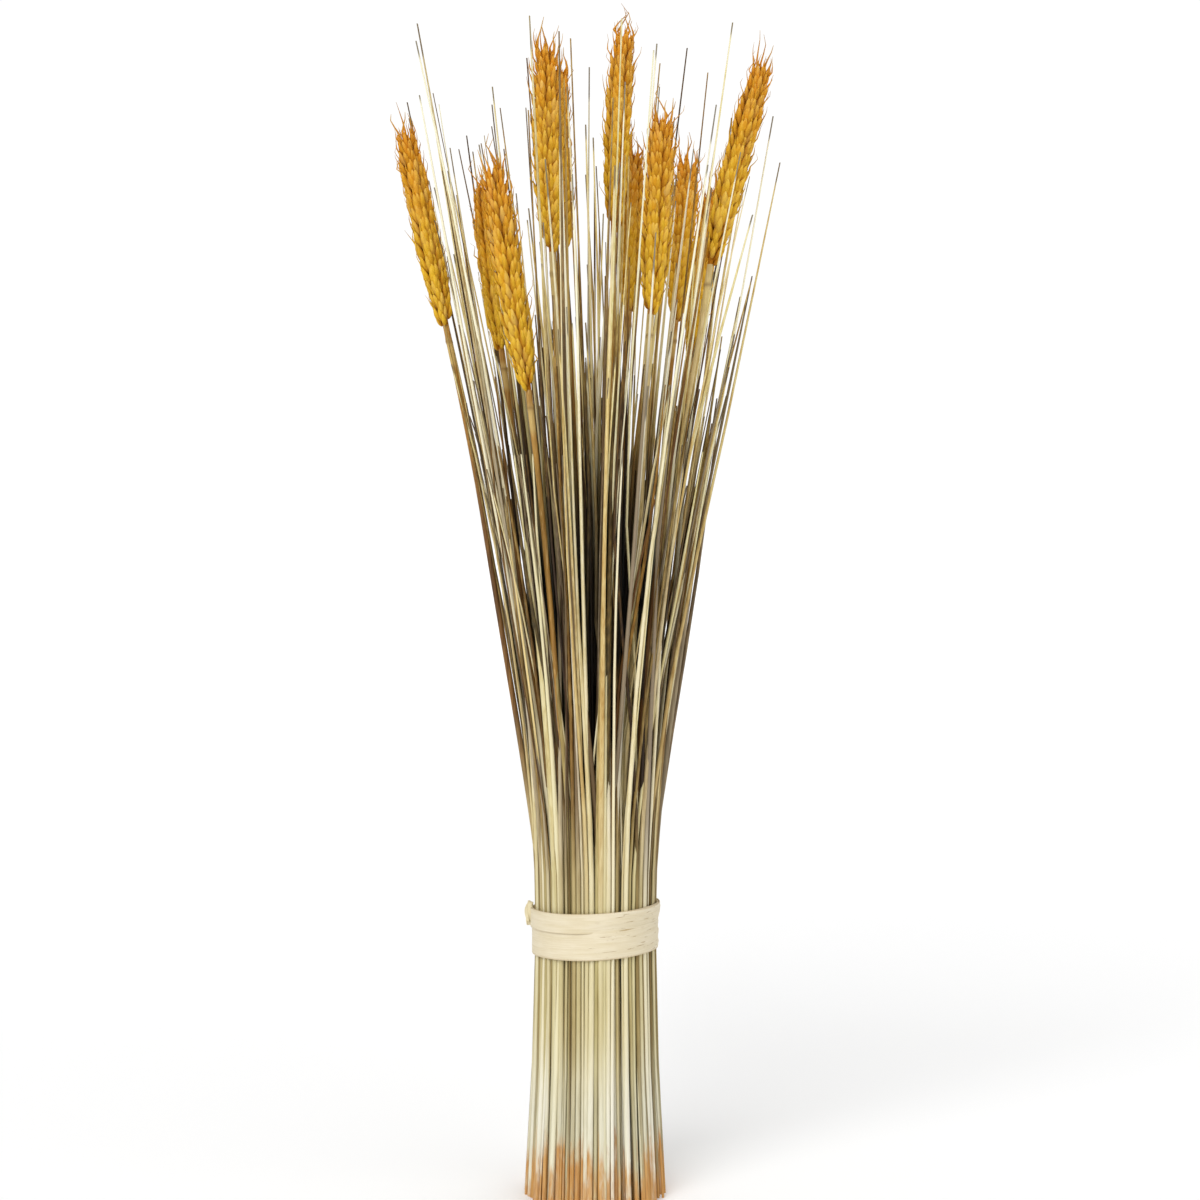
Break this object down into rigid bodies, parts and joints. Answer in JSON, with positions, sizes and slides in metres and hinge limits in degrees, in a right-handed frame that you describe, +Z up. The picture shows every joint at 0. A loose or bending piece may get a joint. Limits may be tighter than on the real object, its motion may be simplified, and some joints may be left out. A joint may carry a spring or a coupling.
{
  "type": "bundle of dried wheat",
  "caption": "Standing bundle of dried wheat: plump bearded ears on stalks among fine grass straws that fan out above a wound raffia tie, cut flush at the foot; a table or shelf decoration.",
  "frame": {"origin": "middle of the cut foot, on the surface that the bundle stands on", "axes": "+Z up along the bundle from the cut foot to the ears; the side with most ears in view faces -Y, and +X is that side's right, with the folded end of the tie on -X"},
  "size_m": [0.1581, 0.1645, 0.5],
  "materials": {
    "grass_straw": "matte dry straw",
    "wheat_stalk": "satin dry stalk",
    "wheat_ear": "matte dry husk",
    "raffia": "matte fibrous strip"
  },
  "bodies": {
    "root": {"grass_tuft_01": "grass_straw", "grass_tuft_02": "grass_straw", "grass_tuft_03": "grass_straw", "grass_tuft_04": "grass_straw", "grass_tuft_05": "grass_straw", "grass_tuft_06": "grass_straw", "grass_tuft_07": "grass_straw", "grass_tuft_08": "grass_straw", "grass_tuft_09": "grass_straw", "grass_tuft_10": "grass_straw", "grass_tuft_11": "grass_straw", "grass_tuft_12": "grass_straw", "grass_tuft_13": "grass_straw", "grass_tuft_14": "grass_straw", "grass_tuft_15": "grass_straw", "grass_tuft_16": "grass_straw", "grass_tuft_17": "grass_straw", "grass_tuft_18": "grass_straw", "grass_tuft_19": "grass_straw", "grass_tuft_20": "grass_straw", "grass_tuft_21": "grass_straw", "grass_tuft_22": "grass_straw", "grass_tuft_23": "grass_straw", "grass_tuft_24": "grass_straw", "grass_tuft_25": "grass_straw", "grass_tuft_26": "grass_straw", "grass_tuft_27": "grass_straw", "grass_tuft_28": "grass_straw", "grass_tuft_29": "grass_straw", "grass_tuft_30": "grass_straw", "grass_tuft_31": "grass_straw", "grass_tuft_32": "grass_straw", "grass_tuft_33": "grass_straw", "grass_tuft_34": "grass_straw", "tie_knot": "raffia", "tie_strip": "raffia", "wheat_ear_01": "wheat_ear", "wheat_ear_02": "wheat_ear", "wheat_ear_03": "wheat_ear", "wheat_ear_04": "wheat_ear", "wheat_ear_05": "wheat_ear", "wheat_ear_06": "wheat_ear", "wheat_ear_07": "wheat_ear", "wheat_ear_08": "wheat_ear", "wheat_ear_09": "wheat_ear", "wheat_ear_10": "wheat_ear", "wheat_ear_11": "wheat_ear", "wheat_stalk_01": "wheat_stalk", "wheat_stalk_02": "wheat_stalk", "wheat_stalk_03": "wheat_stalk", "wheat_stalk_04": "wheat_stalk", "wheat_stalk_05": "wheat_stalk", "wheat_stalk_06": "wheat_stalk", "wheat_stalk_07": "wheat_stalk", "wheat_stalk_08": "wheat_stalk", "wheat_stalk_09": "wheat_stalk", "wheat_stalk_10": "wheat_stalk", "wheat_stalk_11": "wheat_stalk"}
  },
  "joints": []
}
